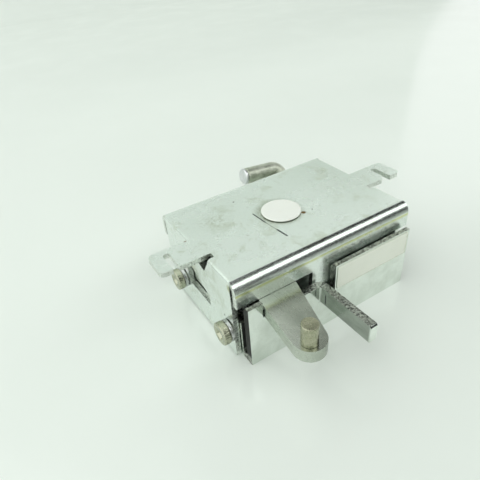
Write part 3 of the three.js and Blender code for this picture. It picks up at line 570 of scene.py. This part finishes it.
def tray_skin(normal, centre):
    """True on the sheet's two broad sides: floor, walls, the bar's flanks and its bend."""
    x, y, z = centre
    nx, ny, nz = (abs(n) for n in normal)
    level = nz > 0.99 and near(z, 0, TRAY["sheet"])
    long_wall = ny > 0.99 and near(abs(y), TRAY["out"], TRAY["in"])
    end_wall = nx > 0.99 and near(abs(x), TRAY["half_x"], TRAY["half_x"] - TRAY["sheet"]) \
        and abs(y) < TRAY["end_y"]
    bar = nx > 0.99 and near(x, JAW["left"], JAW["right"]) and y < -TRAY["out"]
    root = nz < 0.01 and 0.01 < nx < 0.999 and y < -TRAY["in"]
    rolled = ny > 0.1 and nz > 0.1 and z > TRAY["top"] - 2
    return level or long_wall or end_wall or bar or root or rolled


def in_corner_gap(normal, centre):
    """The cut edges that face each other across the open corners at the tray's ends."""
    x, y, _ = centre
    end_wall_edge = abs(normal.y) > 0.99 and near(abs(y), TRAY["end_y"]) \
        and abs(x) > TRAY["half_x"] - TRAY["sheet"]
    long_wall_end = abs(normal.x) > 0.99 and near(abs(x), TRAY["half_x"]) and abs(y) > TRAY["end_y"]
    return end_wall_edge or long_wall_end


def roughen_jaw(bm):
    """Makes the jaw's sheared top edge ragged and slopes it off at the tip."""
    for v in bm.verts:
        x, y, z = v.co / MM
        if y < -TRAY["out"] and near(z, JAW["top"]):
            ragged = noise.noise(Vector((x, y, 0)) * 1.3) * 0.6 + noise.noise(Vector((x, y, 5)) * 3.1) * 0.4
            v.co.z += (-0.10 + 0.13 * ragged) * MM
            if near(y, JAW["tip_y"]):
                v.co.z -= 0.6 * MM
            if near(x, JAW["left"], JAW["right"]) and y < -34:
                v.co.x += 0.07 * noise.noise(Vector((x, y * 1.7, 9))) * MM
    bm.normal_update()


def build_tray():
    bm = copied("base_tray")
    cut_along(bm, lambda c: near(abs(c.x), TRAY["half_x"]), (0, 1, 0),
              [side * TRAY[key] for side in (-1, 1) for key in ("in", "end_y")])
    sheared_faces(bm, tray_skin)
    # Painted shade on the cut edges that face each other across the open corners.
    for face in bm.faces:
        if in_corner_gap(face.normal, face.calc_center_median() / MM):
            face.material_index = PAINTED_SHADE

    def on_jaw(c):
        return c.y < -TRAY["out"] - 0.05 and c.z > JAW["low"] + 0.1

    def on_jaw_top(c):
        return on_jaw(c) and c.z > JAW["top"] - 0.1

    step = 0.55
    cut_along(bm, on_jaw, (0, 1, 0), steps(JAW["tip_y"], -32.0, step))
    cut_along(bm, on_jaw_top, (1, 0, 0), steps(-11.0, JAW["right"], step))
    roughen_jaw(bm)
    for face in bm.faces:
        at_tip = face.calc_center_median().y / MM < JAW["tip_y"] + step
        if at_tip and (face.normal.z > 0.3 or face.normal.y < -0.99):
            face.material_index = SKIN
    piece("tray_and_jaw", bm, "base", ["base_tray"],
          [FINISH["tray_steel"], SHEARED, CORNER_SHADE], 0.16)


# ---------- The other CAD solids, with worn edges ----------

# Width of the worn edge of each piece, in millimetres.
WORN = {
    "lever": 0.3, "lever_bush": 0.12, "pivot_post": 0.15, "pivot_spacer": 0.12, "lever_washer": 0.15,
    "pivot_clip": 0.12, "spring_anchor": 0.12, "spring_stud": 0.12, "cylinder_tube": 0.15,
    "cylinder_front_cap": 0.15, "cylinder_rear_cap": 0.2, "cylinder_mount": 0.3, "mount_screw_front": 0.08,
    "mount_screw_rear": 0.08, "piston": 0.1, "piston_nut": 0.12, "piston_rod": 0.15, "rod_clevis": 0.25,
    "clevis_pin": 0.12, "rod_seal": 0.1, "piston_seal": 0.1, "inlet_fitting": 0.2, "label": 0.06,
    "lock_washer_left_front": 0.12, "lock_washer_left_rear": 0.12, "lock_washer_right_front": 0.12,
    "lock_washer_right_rear": 0.12,
}


def build_worn(node, width):
    slot = NODE_SLOT[node]
    piece(node + "_finished", copied(node), NODE_BODY[node], [node], [FINISH[slot]], width)


# ---------- Round parts at full smoothness ----------

def lathe(profile, count=96):
    """A closed solid turned about Z from (radius, z) pairs in millimetres, from axis to axis."""
    bm = bmesh.new()
    rings = []
    for radius, z in profile:
        if radius < 1e-6:
            rings.append([bm.verts.new(vec(0, 0, z))])
        else:
            turns = [2 * math.pi * k / count for k in range(count)]
            rings.append([bm.verts.new(vec(radius * math.cos(a), radius * math.sin(a), z)) for a in turns])
    for low, high in zip(rings, rings[1:]):
        for k in range(count):
            n = (k + 1) % count
            corners = [low[k % len(low)], low[n % len(low)], high[n % len(high)], high[k % len(high)]]
            unique = list(dict.fromkeys(corners))
            if len(unique) > 2:
                bm.faces.new(unique)
    bmesh.ops.recalc_face_normals(bm, faces=bm.faces)
    return bm


def rounded(profile, radius, count=4):
    """The profile with each inner corner replaced by a short arc of count lines."""
    out = [profile[0]]
    for a, b, c in zip(profile, profile[1:], profile[2:]):
        pa, pb, pc = Vector(a), Vector(b), Vector(c)
        r = min(radius, (pa - pb).length * 0.45, (pc - pb).length * 0.45)
        p0, p1 = pb + (pa - pb).normalized() * r, pb + (pc - pb).normalized() * r
        for k in range(count + 1):
            t = k / count
            out.append(tuple(p0 * (1 - t) ** 2 + pb * 2 * t * (1 - t) + p1 * t * t))
    out.append(profile[-1])
    return out


def build_grip_pin():
    low, shoulder, top = GRIP_PIN["low"], GRIP_PIN["shoulder"], GRIP_PIN["top"]
    tenon, r = GRIP_PIN["tenon_r"], GRIP_PIN["r"]
    bm = lathe(rounded([(0, low), (tenon, low), (tenon, shoulder), (r, shoulder), (r, top - 0.2),
                        (r - 0.2, top), (0, top - 0.04)], 0.1))
    bmesh.ops.translate(bm, verts=bm.verts, vec=vec(GRIP_PIN["x"], GRIP_PIN["y"], 0))
    piece("grip_pin_turned", bm, "lever", ["grip_pin"], [FINISH["brassy_steel"]])


def build_plug():
    low, seat, top = PLUG["low"], PLUG["seat"], PLUG["top"]
    stem, r = PLUG["stem_r"], PLUG["r"]
    bm = lathe(rounded([(0, low), (stem - 0.6, low), (stem, low + 1.3), (stem, seat), (r, seat),
                        (r - 0.02, top - 0.2), (r - 0.4, top), (0, top - 0.04)], 0.14))
    bmesh.ops.translate(bm, verts=bm.verts, vec=vec(PLUG["x"], PLUG["y"], 0))
    piece("plug_moulded", bm, "base", ["centre_plug"], [FINISH["white_plastic"]])


def build_cap_screw(node):
    """A socket cap screw: the knurled head and the hex socket are cut in the mesh."""
    low, high = (Vector(c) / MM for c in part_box(node))
    left = low.x < 0
    head_r, head_h, shank_r = CAP_SCREW["head_r"], CAP_SCREW["head_h"], CAP_SCREW["shank_r"]
    socket_r, socket_depth, length = CAP_SCREW["socket_r"], CAP_SCREW["socket_depth"], CAP_SCREW["length"]
    count = CAP_SCREW["knurls"] * 4
    bm = bmesh.new()

    def hexagon(angle, corner):
        """Radius of a hexagon with the given corner radius, in the direction angle."""
        return corner * math.cos(math.pi / 6) / math.cos((angle % (math.pi / 3)) - math.pi / 6)

    hub = bm.verts.new(vec(0, 0, socket_depth + 0.15))
    rings = []
    levels = [
        ("hex", socket_r * 0.93, socket_depth), ("hex", socket_r, 0.2), ("hex", socket_r + 0.2, 0.0),
        ("round", head_r - 0.55, 0.0), ("round", head_r - 0.18, 0.12), ("round", head_r, 0.4),
        ("knurl", head_r, 0.6), ("knurl", head_r, head_h - 0.35), ("round", head_r - 0.05, head_h - 0.2),
        ("round", head_r - 0.2, head_h), ("round", shank_r, head_h), ("round", shank_r, length - 0.5),
        ("round", shank_r - 0.5, length),
    ]
    for kind, radius, z in levels:
        ring = []
        for k in range(count):
            a = 2 * math.pi * k / count
            r = hexagon(a, radius) if kind == "hex" else radius
            if kind == "knurl":
                r -= CAP_SCREW["knurl_depth"] * (k % 4 in (1, 2))
            ring.append(bm.verts.new(vec(r * math.cos(a), r * math.sin(a), z)))
        rings.append(ring)
    end = bm.verts.new(vec(0, 0, length))
    for low_ring, high_ring in zip(rings, rings[1:]):
        for k in range(count):
            n = (k + 1) % count
            bm.faces.new([low_ring[k], low_ring[n], high_ring[n], high_ring[k]])
    for k in range(count):
        n = (k + 1) % count
        bm.faces.new([hub, rings[0][n], rings[0][k]])
        bm.faces.new([rings[-1][k], rings[-1][n], end])
    bmesh.ops.recalc_face_normals(bm, faces=bm.faces)
    turn = Matrix.Rotation(math.pi / 2 if left else -math.pi / 2, 4, "Y")
    face_x = low.x if left else high.x
    bm.transform(Matrix.Translation(vec(face_x, (low.y + high.y) / 2, (low.z + high.z) / 2)) @ turn)
    piece(node + "_turned", bm, "base", [node], [FINISH["screw_zinc"]])


# ---------- Swept parts: the air inlet pipe and the return spring ----------

def sweep(points, radius_at, count=24, bore=0.0):
    """A round tube or wire along points, in millimetres, closed at both ends."""
    bm = bmesh.new()
    path = [Vector(p) for p in points]
    last = len(path) - 1
    tangents = [(path[min(k + 1, last)] - path[max(k - 1, 0)]).normalized() for k in range(len(path))]
    across = tangents[0].orthogonal().normalized()
    frames = []
    for k, tangent in enumerate(tangents):
        if k:
            across = (tangents[k - 1].rotation_difference(tangent) @ across).normalized()
        frames.append((across.copy(), tangent.cross(across)))

    def ring(k, radius):
        u, v = frames[k]
        return [bm.verts.new((path[k] + (u * math.cos(2 * math.pi * n / count)
                                         + v * math.sin(2 * math.pi * n / count)) * radius) * MM)
                for n in range(count)]

    def skin(rings):
        for low, high in zip(rings, rings[1:]):
            for k in range(count):
                n = (k + 1) % count
                bm.faces.new([low[k], low[n], high[n], high[k]])

    outer = [ring(k, radius_at(k)) for k in range(len(path))]
    if bore:
        inner = [ring(k, bore) for k in range(len(path))]
        skin([inner[0], *outer, inner[-1], *inner[-2:0:-1], inner[0]])
    else:
        skin(outer)
        for rim in (outer[0], outer[-1]):
            bm.faces.new(rim)
    bmesh.ops.recalc_face_normals(bm, faces=bm.faces)
    return bm


def rounded_path(corners, radius, arc_steps=14, line_steps=24):
    """Points along the corners with an arc at each inner one, and the straight stretches cut up evenly."""
    anchors = [[corners[0]]]
    for a, b, c in zip(corners, corners[1:], corners[2:]):
        back, ahead = (a - b).normalized(), (c - b).normalized()
        half = back.angle(ahead) / 2
        centre = b + (back + ahead).normalized() * radius / math.sin(half)
        start = b + back * radius / math.tan(half) - centre
        end = b + ahead * radius / math.tan(half) - centre
        sweep_angle = start.angle(end)
        anchors.append([centre + (start * math.sin(sweep_angle * (1 - t)) + end * math.sin(sweep_angle * t))
                        / math.sin(sweep_angle) for t in (k / arc_steps for k in range(arc_steps + 1))])
    anchors.append([corners[-1]])
    path = [corners[0]]
    for arc, following in zip(anchors, anchors[1:]):
        count = max(1, int(line_steps * (following[0] - arc[-1]).length / 15))
        path += [arc[-1].lerp(following[0], k / count) for k in range(1, count + 1)]
        path += following[1:]
    return path


def build_inlet_pipe():
    path = rounded_path(PIPE_ROUTE, PIPE["bend"])
    lengths = [0.0]
    for a, b in zip(path, path[1:]):
        lengths.append(lengths[-1] + (b - a).length)

    def radius(k):
        to_start, to_end = lengths[k], lengths[-1] - lengths[k]
        rim = max(0.0, 0.4 - to_end) + max(0.0, 0.3 - to_start)
        return PIPE["r"] - rim - 0.04 * noise.noise(path[k] * 0.45)

    piece("inlet_pipe_bent", sweep(path, radius, 48, PIPE["bore"]), "base",
          ["air_inlet_pipe"], [FINISH["inlet_brass"]])


def build_pipe_plug():
    """The dust plug: a domed flange with a worn rim and a stem in the pipe's mouth."""
    out = (PIPE_ROUTE[-1] - PIPE_ROUTE[-2]).normalized()
    flange, stem, depth, dome = (PIPE_PLUG[key] for key in ("flange_r", "stem_r", "stem", "dome"))
    bm = lathe(rounded([(0, -depth), (stem - 0.3, -depth), (stem, 0.3 - depth), (stem, 0.3), (flange, 0.3),
                        (flange, 1.0), (flange - 0.5, 1.45), (1.6, dome), (1.3, 1.35), (0, 1.33)], 0.2))
    turn = Vector((0, 0, 1)).rotation_difference(out).to_matrix().to_4x4()
    bm.transform(Matrix.Translation(PIPE_ROUTE[-1] * MM) @ turn)
    piece("pipe_plug_turned", bm, "base", ["pipe_plug"], [FINISH["aluminium"]])


def build_return_spring():
    anchor, stud = SPRING["anchor"], SPRING["stud"]
    hook, coil, turns = SPRING["hook_r"], SPRING["coil_r"], SPRING["turns"]
    axis = (stud - anchor).normalized()
    side = Vector((-axis.y, axis.x, 0))
    length = (stud - anchor).length
    lead = hook + 2.2
    bend_points, turn_points = 16, 16
    bends = [math.pi * (1.35 - 1.1 * k / bend_points) for k in range(bend_points + 1)]

    def at(along, across, high):
        return anchor + axis * along + side * across + Vector((0, 0, high))

    points = [at(hook * math.cos(a), -hook * math.sin(a), 0) for a in bends]
    total = turns * turn_points
    for k in range(total + 1):
        a = 2 * math.pi * turns * k / total
        points.append(at(lead + (length - 2 * lead) * k / total, -coil * math.cos(a), coil * math.sin(a)))
    points += [at(length - hook * math.cos(a), -hook * math.sin(a), 0) for a in reversed(bends)]
    bm = sweep(points, lambda k: SPRING["wire_r"], 8)
    made = piece("spring_coil", bm, None, ["return_spring"], [FINISH["spring_steel"]])
    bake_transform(made)


build_cover()
build_tray()
for node_name, edge in WORN.items():
    build_worn(node_name, edge)
build_grip_pin()
build_plug()
for node_name in NODES:
    if node_name.startswith("cap_screw"):
        build_cap_screw(node_name)
build_inlet_pipe()
build_pipe_plug()
build_return_spring()


# ---------- Floor, light and camera ----------

def build_floor():
    """A wide pale sheet that rises into a backdrop a long way behind."""
    bm = bmesh.new()
    front, back, half_width, top = -1.6, 0.96, 2.4, 2.2
    rise, count = 0.8, 16
    below = 0.02 * MM
    profile = [(front, 0.0), (back, 0.0)]
    for k in range(1, count + 1):
        a = math.pi / 2 * k / count
        profile.append((back + rise * math.sin(a), rise - rise * math.cos(a)))
    profile.append((back + rise, top))
    rows = [[bm.verts.new((x, y, z - below)) for y, z in profile] for x in (-half_width, half_width)]
    for k in range(len(profile) - 1):
        bm.faces.new([rows[0][k], rows[0][k + 1], rows[1][k + 1], rows[1][k]])
    bmesh.ops.recalc_face_normals(bm, faces=bm.faces)
    mesh = bpy.data.meshes.new("floor")
    bm.to_mesh(mesh)
    bm.free()
    for polygon in mesh.polygons:
        polygon.use_smooth = True
    floor = bpy.data.objects.new("floor", mesh)
    SCENE.collection.objects.link(floor)
    s = Shader("floor_board")
    cloud = s.noise(60, 3)
    s.finish(s.mix(cloud, (0.86, 0.91, 0.86), (0.885, 0.93, 0.885)),
             s.span(cloud, 0.3, 0.7, 0.10, 0.16))
    mesh.materials.append(s.material)


def build_world():
    """Pale surroundings with a bright strip between two dark ones, for the cover's fold to mirror."""
    world = bpy.data.worlds.new("studio")
    SCENE.world = world
    world.use_nodes = True
    tree = world.node_tree
    new = tree.nodes.new
    link = tree.links.new
    split = new("ShaderNodeSeparateXYZ")
    link(new("ShaderNodeTexCoord").outputs["Generated"], split.inputs["Vector"])
    angle = new("ShaderNodeMath")
    angle.operation = "ARCTAN2"
    link(split.outputs["Z"], angle.inputs[0])
    link(split.outputs["Y"], angle.inputs[1])
    share = new("ShaderNodeMapRange")
    share.inputs["From Max"].default_value = math.pi
    link(angle.outputs["Value"], share.inputs["Value"])
    ramp = new("ShaderNodeValToRGB")
    # Brightness by the direction's angle above the horizon behind the box, in degrees.
    bands = [(0, 0.90), (30, 1.18), (50, 1.32), (64, 0.02), (106, 0.02), (116, 2.2), (134, 2.2), (146, 0.03),
             (174, 0.04), (180, 0.4)]
    elements = ramp.color_ramp.elements
    while len(elements) < len(bands):
        elements.new(0.5)
    for element, (degrees, level) in zip(elements, bands):
        element.position = degrees / 180
        element.color = (level * 0.97, level, level * 0.975, 1)
    link(share.outputs["Result"], ramp.inputs["Fac"])
    # The strips fade out to both sides.
    sides = [new("ShaderNodeMapRange") for _ in range(2)]
    for made, (outside, inside) in zip(sides, ((0.04, 0.16), (0.95, 0.84))):
        made.interpolation_type = "SMOOTHSTEP"
        made.inputs["From Min"].default_value = outside
        made.inputs["From Max"].default_value = inside
        link(split.outputs["X"], made.inputs["Value"])
    both = new("ShaderNodeMath")
    both.operation = "MULTIPLY"
    for made, socket in zip(sides, both.inputs):
        link(made.outputs["Result"], socket)
    mixed = new("ShaderNodeMix")
    mixed.data_type = "RGBA"
    link(both.outputs["Value"], mixed.inputs[0])
    mixed.inputs[6].default_value = (0.90, 0.945, 0.91, 1)
    link(ramp.outputs["Color"], mixed.inputs[7])
    link(mixed.outputs[2], tree.nodes["Background"].inputs["Color"])
    tree.nodes["Background"].inputs["Strength"].default_value = 1.04


def area_light(name, place, size, power):
    """A square lamp at place that points at the box."""
    light = bpy.data.lights.new(name, "AREA")
    light.shape = "SQUARE"
    light.size = size
    light.energy = power
    made = bpy.data.objects.new(name, light)
    SCENE.collection.objects.link(made)
    made.location = place
    made.rotation_euler = (-Vector(place)).to_track_quat("-Z", "Y").to_euler()


def build_camera():
    """The camera stands to the front left, above the box, slightly tilted."""
    azimuth, elevation, roll = (math.radians(a) for a in (-29.225, 35.696, -5.211))
    back = Vector((math.sin(azimuth) * math.cos(elevation), -math.cos(azimuth) * math.cos(elevation),
                   math.sin(elevation)))
    level = Vector((math.cos(azimuth), math.sin(azimuth), 0))
    over = back.cross(level)
    right = level * math.cos(roll) + over * math.sin(roll)
    up = over * math.cos(roll) - level * math.sin(roll)
    camera = bpy.data.objects.new("camera", bpy.data.cameras.new("camera"))
    SCENE.collection.objects.link(camera)
    camera.matrix_world = Matrix.Translation((-0.0864, -0.1180, 0.1264)) \
        @ Matrix((right, up, back)).transposed().to_4x4()
    camera.data.lens = 32.48
    camera.data.sensor_width = 36
    camera.data.clip_start = 0.005
    SCENE.camera = camera


build_floor()
build_world()
area_light("soft_left", (-0.8, 0.15, 0.7), 1.4, 3.0)
build_camera()
SCENE.view_settings.view_transform = "Standard"
